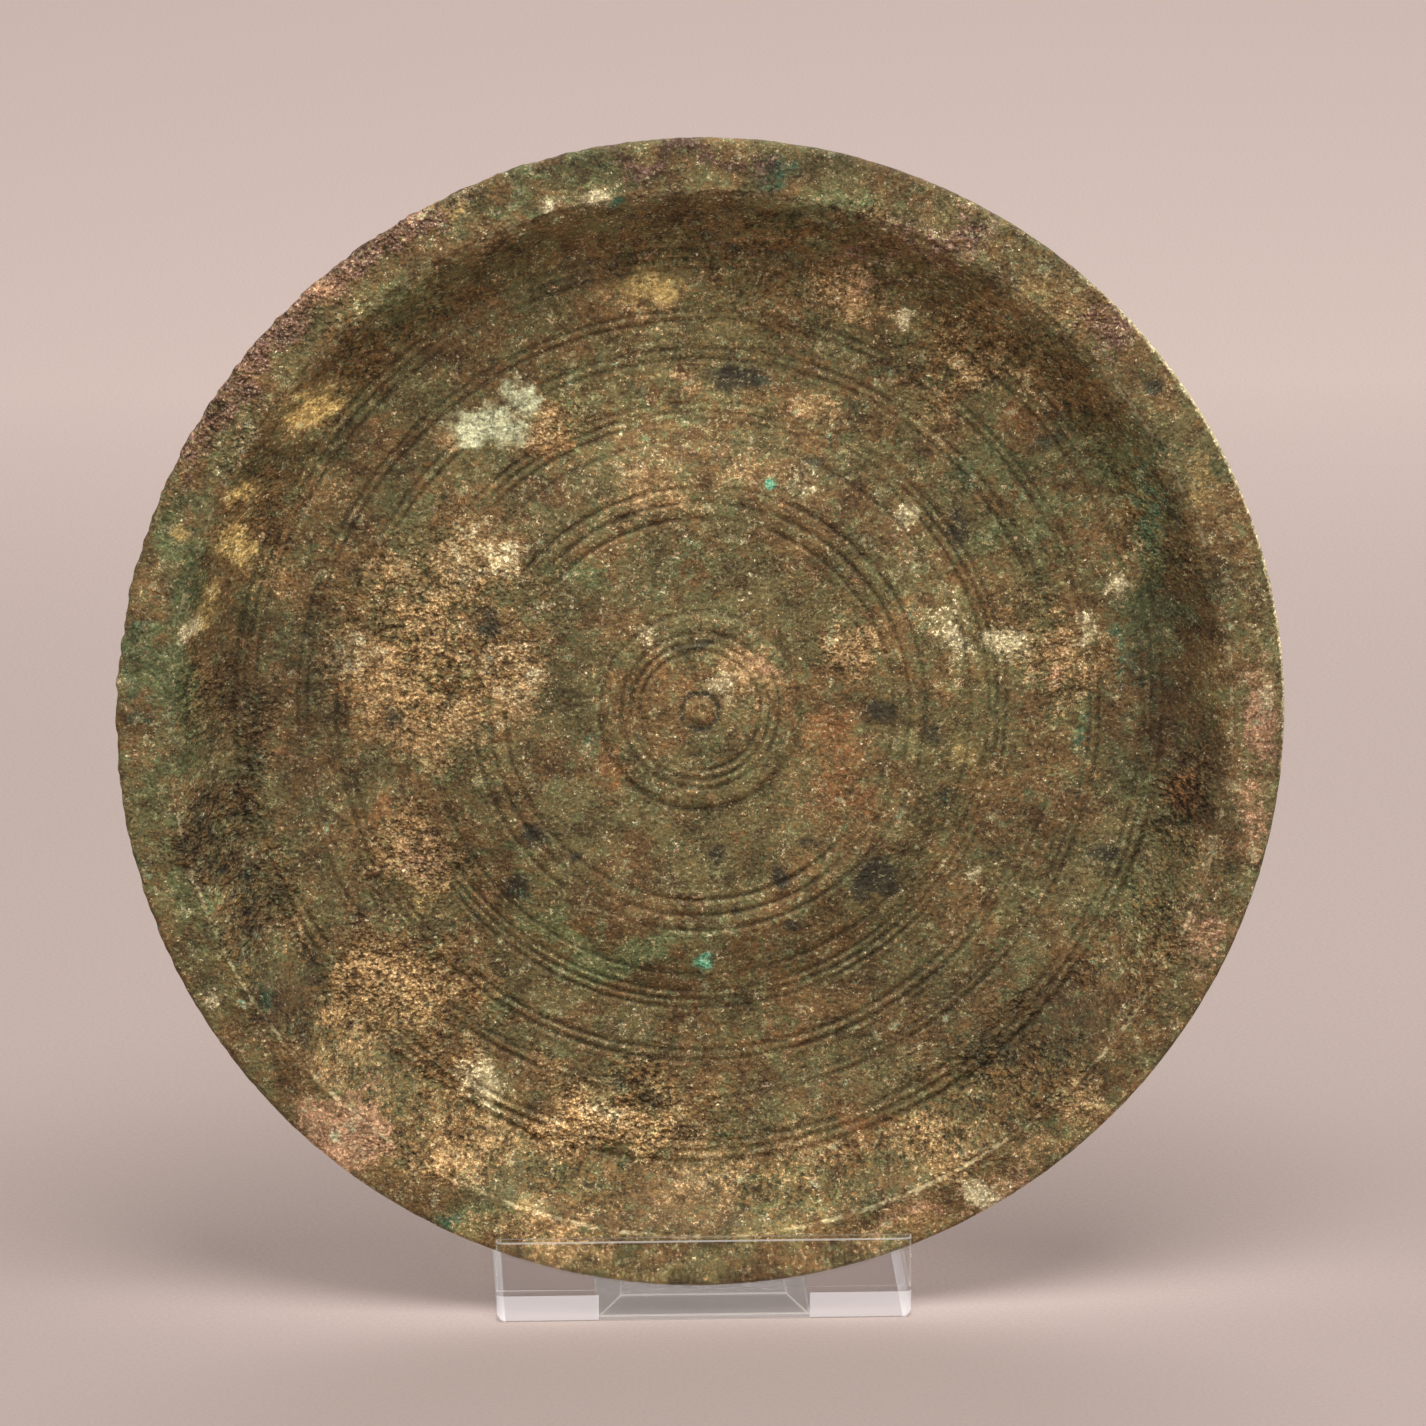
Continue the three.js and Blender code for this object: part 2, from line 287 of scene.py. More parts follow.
# Where the patina's colours and crusts lie, on the decorated side. The light and shade spots brighten and
# darken the colour: partly the patina's own tone, partly painted light and painted shade, such as the rim
# lighter at the bottom and darker at the top.
# Each spot: across, up, half width, half height and strength, in millimetres from the centre.
SPOTS = {
    "light": [
        (-39, 9, 12, 11, 0.45), (-45, -44, 13, 9, 0.35), (-14, -62, 20, 6, 0.65),
        (-30, 43, 6, 4, 0.7), (-56, 47, 5, 5, 1.9), (-69, 25, 4, 4, 1.1), (-68, 33, 4, 3, 1.0),
        (45, 10, 16, 8, 0.6), (0, 40, 20, 8, 0.75), (4, 7, 22, 8, 0.35), (-11, -35, 12, 4, 0.5),
        (-22, -78, 16, 4, 0.6), (-44, -66, 14, 5, 0.5), (0, -80, 48, 4.5, 1.35),
        (60, -57, 10, 6, 1.0), (22, 61, 7, 5, 0.5), (66, 28, 4, 9, 0.3), (0, 55, 14, 6, 0.5),
        (12, -12, 22, 10, 0.2), (0, 70, 34, 4, 0.3), (47, 58, 9, 6, 0.4), (60, 30, 6, 10, 0.25),
    ],
    "shade": [
        (69, 0, 7, 36, 0.95), (52, -48, 12, 11, 0.95), (-57, 0, 8, 22, 0.7), (-68, -6, 6, 26, 0.85),
        (-61, -38, 7, 10, 0.8), (-47, 36, 9, 9, 0.45), (34, -42, 16, 9, 0.4), (0, 82, 46, 3.4, 0.8),
        (82, 0, 3, 9, 0.4), (62, 44, 8, 14, 0.35), (-79, 8, 3, 24, 0.6), (-4, 83, 16, 1.6, 0.6),
        (25, -25, 5, 4, 0.4), (-19, 6, 5, 12, 0.6), (-30, -20, 10, 8, 0.25), (50, -20, 8, 10, 0.3),
        (-70, 38, 4, 9, 0.3),
    ],
    "pale": [
        (-32, 21, 6, 4.5, 0.5), (-28, 3, 4, 8, 0.45), (-51, 8, 4, 4, 0.4),
        (-28.4, 44.3, 5.2, 3.8, 0.5), (45, 10, 4.2, 4, 0.85), (38, 10.5, 3, 4.5, 0.7),
        (-7.3, 10.6, 3.2, 3, 0.55), (30.6, 28.4, 2, 2.5, 0.8), (14.6, 32, 3.5, 3, 0.55),
        (29.9, 57.4, 1.6, 2, 0.85), (61.2, 18.3, 2, 2.2, 0.8), (42.5, -70.3, 2.6, 3.2, 1.1),
        (-71.8, -41.5, 1.3, 1.5, 1.0), (-74.3, -22, 1.2, 1.6, 0.8), (-15.3, 76.5, 2.4, 1.3, 1.1),
        (-22, 76, 1.6, 1.1, 0.8), (-30.6, -55.6, 5, 2.5, 0.85), (-74.3, 14.3, 1.8, 3, 0.9),
        (82.5, 3, 1.3, 3, 0.9), (40.8, -25.9, 1.4, 1.4, 0.7), (4, 3.5, 3, 2.4, 0.75),
        (-14, -60, 4, 2, 0.6), (57, 12, 2, 5, 0.5),
    ],
    "tan": [
        (-38, 14, 9, 7, 0.85), (-33, 21, 7, 5, 0.95), (-28.5, 2, 4.5, 10, 1.0),
        (-50, -50, 10, 8, 0.6), (-33, -61, 14, 7, 0.65), (6, -68, 16, 4.5, 0.6),
        (-45, 5, 7, 7, 0.85), (-50, 9, 5, 5, 0.85), (-39, -2, 9, 6, 0.85), (-44, 22, 7, 4, 0.7),
        (-22.6, 41.3, 3.2, 3.4, 0.9), (-36.5, 40.4, 3.5, 2.6, 0.9), (21.9, 61, 6, 4.5, 0.85),
        (52.5, 9, 6.5, 9, 0.7), (23.3, 9.8, 3.2, 5.5, 0.85), (7.5, 5.6, 6, 4, 0.9),
        (-39.3, -22.9, 6.5, 5.5, 0.9), (-45.2, -43, 11, 8, 0.95), (-14.6, -61.6, 16, 6, 1.0),
        (-39.3, -65.3, 8, 4, 0.8), (-1.5, 48.5, 4.5, 3.4, 0.65), (14.6, 45.5, 4.5, 2.6, 0.7),
        (40, 49, 8, 7, 0.6), (-8.7, 31.4, 7, 4, 0.8), (8, 33, 8, 3, 0.6), (55.4, -57, 4, 5, 0.7),
        (34.2, -65.3, 8, 4.5, 0.85), (29, -74.5, 11, 3.4, 0.85), (14.5, -64, 5, 4, 0.6),
        (64, 20, 3, 5, 0.4), (-54, 33, 4, 5, 0.5), (-7.3, 58, 5, 4, 0.5), (44, -73, 6, 3, 0.6),
        (-24, -77, 14, 3.2, 0.7), (50, -66, 8, 5, 0.7), (0, -1.2, 1.7, 1.5, 0.4),
        (72, -20, 3, 6, 0.55), (33, 44, 4, 6, 0.5), (-60, -30, 3, 5, 0.5), (-66, 22, 4, 7, 0.5),
    ],
    "pink": [
        (-52.5, -60.8, 8, 5.5, 1.2), (82, 0, 2.6, 7.5, 1.0), (34, -74.5, 9, 3, 0.6),
        (-55, 63.5, 3.5, 3, 0.7), (52, 7, 4, 7, 0.5), (9, 6.5, 4, 2.5, 0.5),
        (-39, -22, 4, 3.5, 0.5), (23, 62, 4, 3, 0.5), (79.5, -14, 3.4, 9, 0.6),
        (74, -34, 4, 6, 0.6), (-68, 44, 2, 6, 0.4), (45, -70, 5, 4, 0.5),
    ],
    "ochre": [
        (-56, 47, 3.6, 3.5, 1.1), (-69.2, 24.7, 3.2, 3.4, 1.0), (-67.8, 32.9, 3.4, 2.6, 0.8),
        (-75.8, 28.4, 1.7, 1.8, 0.9), (-7.5, 61, 5, 3.6, 0.9), (71.4, 34.3, 3, 5, 0.6),
        (-73, 16, 3, 5, 0.8), (-35, 76, 5, 2, 0.5), (-27, -57, 4, 2, 0.6), (50, 62, 5, 3, 0.5),
        (37, -8, 5, 6, 0.4), (-40, -28, 4, 3, 0.5),
    ],
    "green": [
        (-78.7, 14, 4, 24, 0.9), (-11.7, -34.8, 15, 5.5, 1.0), (43.7, 22.5, 7, 7, 0.6),
        (-16, 20.2, 4.5, 2.6, 0.7), (-37.9, -7.3, 7, 5, 0.6), (52, 28, 7, 9, 0.6),
        (66, 20, 5, 16, 0.8), (56, 0, 6, 10, 0.55), (64, -12, 4, 8, 0.6), (47, 36, 7, 6, 0.5),
        (-75, -22, 4, 12, 0.7), (-69, 45, 4, 8, 0.6), (-2, 21, 8, 5, 0.45), (-25, -20, 7, 10, 0.5),
        (-40, 58, 12, 7, 0.55), (61, 36, 8, 10, 0.6), (-10, 40, 14, 6, 0.4), (13, -38, 10, 6, 0.4),
        (-80, -8, 3, 18, 0.7), (-79, 30, 3, 10, 0.6), (-31, -75, 8, 3, 0.8), (52, -62, 8, 4, 0.5),
        (30, 36, 9, 8, 0.4), (20, 74, 16, 4, 0.5), (-24, 80, 20, 3, 0.6), (61, -30, 7, 8, 0.5),
    ],
    "teal": [
        (65.6, 28.4, 4, 9, 0.6), (62.7, 9.6, 3.2, 8, 0.55), (-63.8, -40.7, 1.2, 1.6, 1.1),
        (9.5, 80.5, 3.6, 3.4, 0.9), (-82, 10, 1.6, 14, 0.6), (-15, -5, 2, 2, 0.7),
        (57, -4, 4, 4, 0.5), (-33, -3, 3, 4, 0.6), (39, 34, 3, 3, 0.5), (47, -14, 3, 3, 0.5),
        (-12.5, 76, 2, 1.5, 0.9), (-36.5, -74.6, 2.2, 1.2, 0.9),
    ],
    "rust": [
        (18.9, -8.8, 11, 9, 0.75), (-49.5, 4.6, 4.5, 8, 0.7), (-62.7, 22.5, 3, 5, 0.6),
        (11.7, -50.4, 6, 4, 0.5), (15.2, 2, 2.2, 8, 0.6), (-13, -9, 3, 6, 0.6),
        (-22, 40, 3.5, 2.5, 0.8), (-46.6, -16.2, 2, 4, 0.8), (69.6, -12.5, 2.6, 3, 1.0),
        (49.5, 43.3, 5, 3.4, 0.6), (-5, 63, 9, 3, 0.4), (14, -45, 6, 3, 0.4),
        (2, -0.5, 2.2, 2, 0.6), (-60, 0, 4, 10, 0.45), (20, -64, 8, 4, 0.5), (27, -74, 8, 2.5, 0.4),
        (-3, 6, 6, 5, 0.4),
    ],
    "maroon": [
        (-4.4, 82.8, 13, 2.2, 0.9), (7.5, 81.6, 3.5, 3, 0.7), (35, 70.8, 8, 5, 0.8),
        (59, 56.7, 5, 4, 0.9), (23.3, 67, 3.5, 2.4, 0.7),
    ],
    "dark": [
        (26, -26, 6.4, 4.2, 1.4), (2.2, -22, 1.7, 2.1, 1.1), (-27, -25.4, 2.7, 2.5, 1.2),
        (-23, -17, 3.6, 2.8, 1.1), (59, -22.5, 2.2, 1.7, 1.2), (27, -0.6, 2.6, 2.4, 1.1),
        (34.2, -3.6, 1.8, 2.1, 1.0), (5.1, 48.5, 6, 2.6, 1.3), (13.1, -31.8, 1.8, 1.4, 1.2),
        (65.9, 48.5, 1.6, 1.4, 1.3), (-18.2, -21.4, 1.5, 1.2, 1.0), (11.6, -25, 1.4, 2.0, 1.1),
        (35, -14, 2.0, 1.5, 0.9), (45, 61, 14, 7, 0.5), (-8.7, -55, 5.5, 6, 0.5),
        # The dark spot at 0 across and 69 up is painted shade: the rim's shadow on the top of the dish wall.
        (45, -50, 9, 6, 0.45), (-68, -25, 5, 15, 0.5), (0, 69, 26, 4.5, 0.45),
        (70, 30, 4, 10, 0.45), (-1.2, 11, 5, 1.0, 0.85), (66, 4, 3, 12, 0.45),
        (-50, -52, 9, 7, 0.35), (-60, 40, 5, 9, 0.3), (17, 35, 4, 3, 0.5), (38, 26, 2.6, 4.2, 0.9),
        (-2, 56, 3, 2, 0.4), (-14, 63, 8, 3, 0.5), (-30, 12, 2.2, 3.4, 0.8),
        (-44, -1, 2.2, 2.2, 0.8), (5, -30, 1.2, 1.2, 0.9), (-38, -33, 3, 2, 0.6),
        (52, 42, 3, 4, 0.6), (16, -20, 2, 1.2, 0.8), (-9, 46, 3, 2, 0.5),
    ],
    "smooth": [
        (-30.5, 43.2, 6.2, 4.0, 1.5), (-26.5, 46, 2.6, 1.8, 0.9), (-53, -61, 4.5, 3, 0.5),
    ],
    "chip": [
        (0.4, -38.2, 2.1, 1.5, 1.0), (10.2, 32.9, 1.2, 1.2, 1.0), (-11.5, 76.2, 1.2, 0.9, 0.9),
    ],
    "crust": [
        (-39, 11, 15, 16, 0.8), (-45, -43, 15, 12, 0.95), (-14, -62, 18, 7, 1.0),
        (-39, -61, 12, 8, 0.9), (-68, -20, 6, 22, 0.8), (40, 52, 12, 9, 0.8), (14, 64, 32, 7, 0.5),
        (34, -65, 9, 5, 1.1), (47, -53, 10, 7, 0.9), (-39, -23, 7, 6, 0.9), (-7, -55, 6, 7, 1.1),
        (52, 9, 6, 10, 0.6), (-66, 36, 7, 14, 0.6), (69.6, -12.5, 3, 3.4, 1.2), (22, 61, 6, 5, 0.5),
        (30, 70, 12, 5, 0.5), (-21, 42, 4, 4, 0.6), (23, 10, 4, 6, 0.5), (57, 58, 6, 5, 0.5),
        (68, -34, 6, 10, 0.7), (-50, 58, 6, 6, 0.5),
    ],
}


def spot_mask(u, v, kind, warp_u, warp_v):
    """The soft spots of one kind, with wandering outlines."""
    total = np.zeros_like(u)
    for across, up, wide, high, strength in SPOTS[kind]:
        follow = min(1.0, (wide + high) / 18)
        away = np.hypot((u + follow * warp_u - across) / wide, (v + follow * warp_v - up) / high)
        total = np.maximum(total, 1.15 * strength * (1 - smoothstep(0.1, 1.45, away)))
    return total


def front_masks(u, v, r):
    """How much of each patina kind, and of the painted light and shade, lies at each point of the decorated
    side.
    """
    warp_u = 20 * (fractal(u, v, 9, 11) - 0.5)
    warp_v = 20 * (fractal(u, v, 9, 23) - 0.5)
    masks = {kind: spot_mask(u, v, kind, warp_u, warp_v) for kind in SPOTS}
    wall = smoothstep(FIELD - 1, FIELD + 1.5, r) * (1 - smoothstep(WALL_TOP - 1.5, WALL_TOP, r))
    ragged = smoothstep(0.42, 0.62, fractal(u, v, 13, 37))
    masks["crust"] = np.maximum(masks["crust"], 0.75 * wall * ragged)
    angle = np.degrees(np.arctan2(v, u))
    # Painted highlight: a pale line along the outer edge at the upper right, where the edge catches the
    # light.
    painted_edge_highlight = smoothstep(-14, 4, angle) * (1 - smoothstep(40, 56, angle))
    masks["pale"] = np.maximum(masks["pale"], 1.3 * painted_edge_highlight * smoothstep(RADIUS - 0.5, RADIUS - 0.1, r))
    edge_crust = smoothstep(108, 120, angle) * (1 - smoothstep(148, 160, angle))
    edge_crust = edge_crust * smoothstep(RADIUS - 5.5, RADIUS - 2.5, r + 6 * (fractal(u, v, 5, 41) - 0.5))
    masks["maroon"] = np.maximum(masks["maroon"], 0.95 * edge_crust)
    masks["crust"] = np.maximum(masks["crust"], 0.8 * edge_crust)
    moat = np.exp(-((r - MOAT_RADIUS - 0.25) / 0.6) ** 2)
    masks["dark"] = np.maximum(masks["dark"], 0.95 * moat)
    masks["crust"] = masks["crust"] * (1 - 0.9 * np.clip(masks["smooth"], 0, 1))
    return masks


def back_masks(u, v):
    """The plain side: broad areas of the same patina and a little crust."""
    masks = {}
    for i, kind in enumerate(SPOTS):
        broad = fractal(u, v, 26, 101 + 13 * i)
        masks[kind] = 0.66 * smoothstep(0.54, 0.74, broad)
    masks["crust"] = 0.5 * masks["crust"]
    masks["pale"] = 0.7 * masks["pale"]
    masks["teal"] = 0.7 * masks["teal"]
    masks["chip"] = 0.2 * masks["chip"]
    masks["smooth"] = np.zeros_like(u)
    masks["green"] = np.maximum(masks["green"], 0.5 * smoothstep(0.4, 0.6, fractal(u, v, 34, 211)))
    return masks


def crust_relief(u, v, crust):
    """Height of the granular crust in millimetres."""
    big = grains(u, v, 2.6, 71)
    small = grains(u, v, 1.35, 83)
    lumps = 0.34 * big * smoothstep(0.45, 0.6, fractal(u, v, 5, 97)) + 0.2 * small
    return crust * (0.08 + 1.1 * lumps + 0.3 * (fractal(u, v, 2.2, 131, 2) - 0.4))


def corroded(u, v):
    """Height of the fine corroded surface everywhere in millimetres."""
    soft = fractal(u, v, 6.5, 151, 3) - 0.5
    fine = fractal(u, v, 1.7, 173, 2) - 0.5
    return 0.16 * soft + 0.09 * fine


def edge_raggedness(angle, u, v):
    """How far the edge stands out of the true circle, in millimetres, more at the upper left."""
    rough = fractal(u, v, 1.3, 191, 2) - 0.5
    wave = fractal(u, v, 14, 199, 2) - 0.5
    upper_left = np.exp(-((angle - math.radians(133)) / math.radians(38)) ** 2)
    left = np.exp(-((np.abs(angle) - math.radians(172)) / math.radians(26)) ** 2)
    crusty = 0.16 + 0.75 * upper_left + 0.5 * left
    return np.clip(crusty, 0, 1) * (0.85 * rough + 0.02) + 0.06 * wave


def mirror_geometry():
    """Points in millimetres on the mirror's own axes, their masks and the faces."""
    rings = mirror_rings()
    middles = [float(front_depth(np.array(0.0))), DISH_DEPTH + BODY_THICKNESS + BACK_BULGE]
    radii = np.concatenate([np.full(k["n"], k["r"]) for k in rings] + [[0.0, 0.0]])
    angles = np.concatenate([2 * math.pi * np.arange(k["n"]) / k["n"] for k in rings] + [[0.0, 0.0]])
    angles = (angles + math.pi) % (2 * math.pi) - math.pi
    depths = np.concatenate([np.full(k["n"], k["depth"]) for k in rings] + [middles])
    sides = np.concatenate([np.full(k["n"], k["side"] == "back") for k in rings] + [[False, True]])
    u, v = radii * np.cos(angles), radii * np.sin(angles)
    front = front_masks(u, v, radii)
    back = back_masks(u, v)
    masks = {kind: np.where(sides, back[kind], front[kind]) for kind in SPOTS}
    kept = (1 - 0.8 * np.clip(masks["crust"], 0, 1)) * (1 - 0.8 * np.clip(masks["smooth"], 0, 1))
    wear = 0.45 + 0.55 * smoothstep(0.36, 0.6, fractal(u, v, 15, 223))
    masks["worked"] = np.where(sides | (radii > FIELD + 2), 0, kept * wear)
    cut = ring_relief(radii) * masks["worked"]
    height = crust_relief(u, v, masks["crust"]) + corroded(u, v)
    height = np.where(sides, 0.5 * height, height)
    near_edge = smoothstep(RADIUS - 1.6, RADIUS - 0.2, radii)
    on_rim = smoothstep(RIM_INNER - 0.2, RIM_INNER + 0.3, radii)
    height = height * (1 - 0.45 * on_rim) * (1 - 0.8 * near_edge)
    forward = np.where(sides, -1.0, 1.0)
    climb = np.where((radii > FIELD) & (radii < WALL_TOP) & ~sides, 0.7, 0.0)
    outward = edge_raggedness(angles, u, v) * smoothstep(RADIUS - 2.2, RADIUS - 0.1, radii)
    out = radii - climb * height + outward
    w = -depths - np.where(sides, 0, cut) + forward * height * np.sqrt(1 - climb ** 2)
    points = np.stack([out * np.cos(angles), out * np.sin(angles), w], axis=1)
    return points, masks, stitch(rings)


def mirror_centre():
    """Centre of the rim's front plane in millimetres, from the box of the fixed part."""
    low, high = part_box("bronze_mirror")
    edge = [(RADIUS - EDGE_BEVEL, RIM_FALL), (RADIUS, RIM_FALL + EDGE_BEVEL)]
    edge.append((FIELD, DISH_DEPTH + BODY_THICKNESS))
    steps = 20
    for i in range(steps):
        r = FIELD * i / steps
        edge.append((r, DISH_DEPTH + BODY_THICKNESS + BACK_BULGE * (1 - (r / FIELD) ** 2)))
    up = max(r * math.cos(LEAN) - depth * math.sin(LEAN) for r, depth in edge)
    backward = max(r * math.sin(LEAN) + depth * math.cos(LEAN) for r, depth in edge)
    return np.array([0.5 * (low[0] + high[0]) / MM, high[1] / MM - backward, high[2] / MM - up])


def standing(points):
    """Points on the mirror's own axes, moved to where it leans in its stand, in metres."""
    across = np.array([1.0, 0.0, 0.0])
    upward = np.array([0.0, math.sin(LEAN), math.cos(LEAN)])
    forward = np.array([0.0, -math.cos(LEAN), math.sin(LEAN)])
    turned = points[:, :1] * across + points[:, 1:2] * upward + points[:, 2:] * forward
    return (turned + mirror_centre()) * MM


# The masks that the mesh carries for the material, three in each vector layer
MASKS = [*SPOTS, "worked"]


def build_mirror():
    points, masks, faces = mirror_geometry()
    mesh = bpy.data.meshes.new("patinated_mirror")
    mesh.from_pydata(standing(points).tolist(), [], faces)
    for start in range(0, len(MASKS), 3):
        three = np.stack([masks[name] for name in MASKS[start:start + 3]], axis=1)
        layer = mesh.attributes.new(f"masks_{start // 3}", "FLOAT_VECTOR", "POINT")
        layer.data.foreach_set("vector", np.ascontiguousarray(three, dtype=np.float32).ravel())
    flat = mesh.attributes.new("plane", "FLOAT_VECTOR", "POINT")
    flat.data.foreach_set("vector", np.ascontiguousarray(points, dtype=np.float32).ravel())
    mesh.polygons.foreach_set("use_smooth", np.ones(len(mesh.polygons), dtype=bool))
    mesh.update()
    piece = bpy.data.objects.new("patinated_mirror", mesh)
    bpy.context.scene.collection.objects.link(piece)
    mesh.materials.append(patina_material())
    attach(piece, "root")
    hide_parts("bronze_mirror")
    return piece


# Materials

# The noise nodes' values stay near 0.5, and this spreads them to about 1 on each side
NOISE_GAIN = 16.0


class Graph:
    """A short way to write a material's nodes."""

    def __init__(self, name):
        self.material = bpy.data.materials.new(name)
        self.material.use_nodes = True
        self.tree = self.material.node_tree
        self.tree.nodes.clear()

    def node(self, kind, **settings):
        made = self.tree.nodes.new(kind)
        for key, value in settings.items():
            setattr(made, key, value)
        return made

    def put(self, socket, value):
        if isinstance(value, bpy.types.NodeSocket):
            self.tree.links.new(value, socket)
        else:
            socket.default_value = value

    def bend(self, place, scale, reach):
        """The place, shifted a little to and fro so that shapes drawn there get wandering outlines."""
        made = self.node("ShaderNodeTexNoise")
        self.put(made.inputs["Vector"], place)
        made.inputs["Scale"].default_value = scale
        made.inputs["Detail"].default_value = 1.0
        shift = self.node("ShaderNodeVectorMath", operation="SCALE")
        self.put(shift.inputs[0], made.outputs["Color"])
        shift.inputs["Scale"].default_value = reach
        moved = self.node("ShaderNodeVectorMath", operation="ADD")
        self.put(moved.inputs[0], place)
        self.put(moved.inputs[1], shift.outputs[0])
        return moved.outputs[0]

    def math(self, operation, a, b=0.0, clamp=False):
        made = self.node("ShaderNodeMath", operation=operation, use_clamp=clamp)
        self.put(made.inputs[0], a)
        self.put(made.inputs[1], b)
        return made.outputs[0]

    def scaled(self, value, factor, start=0.0):
        """The value times a factor, plus a start, in one node."""
        made = self.node("ShaderNodeMath", operation="MULTIPLY_ADD")
        self.put(made.inputs[0], value)
        self.put(made.inputs[1], factor)
        self.put(made.inputs[2], start)
        return made.outputs[0]

    def layer(self, name):
        """One of the vector layers of the mesh."""
        return self.node("ShaderNodeAttribute", attribute_name=name).outputs["Vector"]

    def masks(self):
        """Every mask of the mirror's mesh, by its name."""
        found = {}
        for start in range(0, len(MASKS), 3):
            split = self.node("ShaderNodeSeparateXYZ")
            self.put(split.inputs[0], self.layer(f"masks_{start // 3}"))
            for name, axis in zip(MASKS[start:start + 3], "XYZ"):
                found[name] = split.outputs[axis]
        return found

    def noise(self, place, scale, detail, roughness, shift=0.0):
        made = self.node("ShaderNodeTexNoise")
        moved = self.node("ShaderNodeVectorMath", operation="ADD")
        self.put(moved.inputs[0], place)
        moved.inputs[1].default_value = (shift, shift * 0.7, shift * 1.3)
        self.put(made.inputs["Vector"], moved.outputs[0])
        made.inputs["Scale"].default_value = scale
        made.inputs["Detail"].default_value = detail
        made.inputs["Roughness"].default_value = roughness
        return made.outputs["Fac"]

    def packed(self, place, scale):
        """Round grains side by side: about 1 at the top of a grain and -1 between grains."""
        made = self.node("ShaderNodeTexVoronoi", feature="F1", voronoi_dimensions="2D")
        self.put(made.inputs["Vector"], place)
        made.inputs["Scale"].default_value = scale
        return self.scaled(made.outputs["Distance"], -2.6, 1.04)

    def uneven(self, place, scale, detail, roughness, shift=0.0, reach=1.0, middle=0.0):
        """Noise around a middle, whose values spread by about the reach to each side."""
        gain = NOISE_GAIN * reach
        return self.scaled(self.noise(place, scale, detail, roughness, shift), gain, middle - 0.5 * gain)

    def ramp(self, value, low, high, most=1.0):
        made = self.node("ShaderNodeMapRange", interpolation_type="SMOOTHSTEP")
        self.put(made.inputs["Value"], value)
        made.inputs["From Min"].default_value = low
        made.inputs["From Max"].default_value = high
        made.inputs["To Max"].default_value = most
        return made.outputs["Result"]

    def mix(self, factor, a, b, blend="MIX"):
        made = self.node("ShaderNodeMix", data_type="RGBA", blend_type=blend)
        self.put(made.inputs["Factor"], factor)
        self.put(made.inputs["A"], a)
        self.put(made.inputs["B"], b)
        return made.outputs["Result"]


def paint(red, green, blue):
    """A colour given as on a screen, from 0 to 255, in the shader's own linear values."""
    def linear(value):
        value /= 255
        return value / 12.92 if value <= 0.04045 else ((value + 0.055) / 1.055) ** 2.4
    return (linear(red), linear(green), linear(blue), 1.0)


OLIVE = paint(95, 86, 54)
OLIVE_BROWN = paint(103, 81, 50)
MOSS = paint(86, 88, 57)
UMBER = paint(68, 50, 30)
SOOT = paint(40, 38, 31)
EARTH = paint(118, 88, 50)
BONE = paint(196, 180, 140)
LICHEN = paint(150, 146, 104)

# Each kind of patina: colour, a second colour that is mixed in finely, most cover, grain, raggedness
PATINA = {
    "green": (paint(86, 97, 61), paint(116, 122, 82), 0.75, 0.7, 0.24),
    "teal": (paint(54, 86, 63), paint(92, 120, 90), 0.72, 0.9, 0.26),
    "rust": (paint(118, 80, 46), paint(140, 100, 60), 0.66, 0.8, 0.26),
    "maroon": (paint(92, 66, 52), paint(160, 128, 112), 0.8, 1.2, 0.3),
    "tan": (paint(134, 106, 68), paint(204, 173, 126), 0.88, 1.3, 0.34),
    "pink": (paint(150, 112, 82), paint(206, 168, 134), 0.88, 1.2, 0.28),
    "ochre": (paint(156, 132, 80), paint(196, 174, 114), 0.92, 1.0, 0.2),
    "pale": (paint(174, 160, 120), paint(232, 222, 184), 0.95, 1.3, 0.3),
    "dark": (paint(54, 50, 37), paint(64, 59, 44), 0.9, 1.2, 0.12),
    "smooth": (paint(162, 162, 126), paint(192, 194, 160), 0.96, 0.5, 0.16),
    "chip": (paint(64, 140, 108), paint(150, 196, 164), 0.9, 1.2, 0.2),
}

# How far a ring's dark line reaches in millimetres, and how dark it is
LINE_WIDTH, LINE_SHADE = 0.27, 0.46
BRIGHTNESS = 1.26
# How much the painted light and shade masks change the brightness
LIGHT_SHARE, SHADE_SHARE = 0.55, 0.5
# Depth of the fine relief that the shading shows, in metres
BUMP_DEPTH = 0.0007


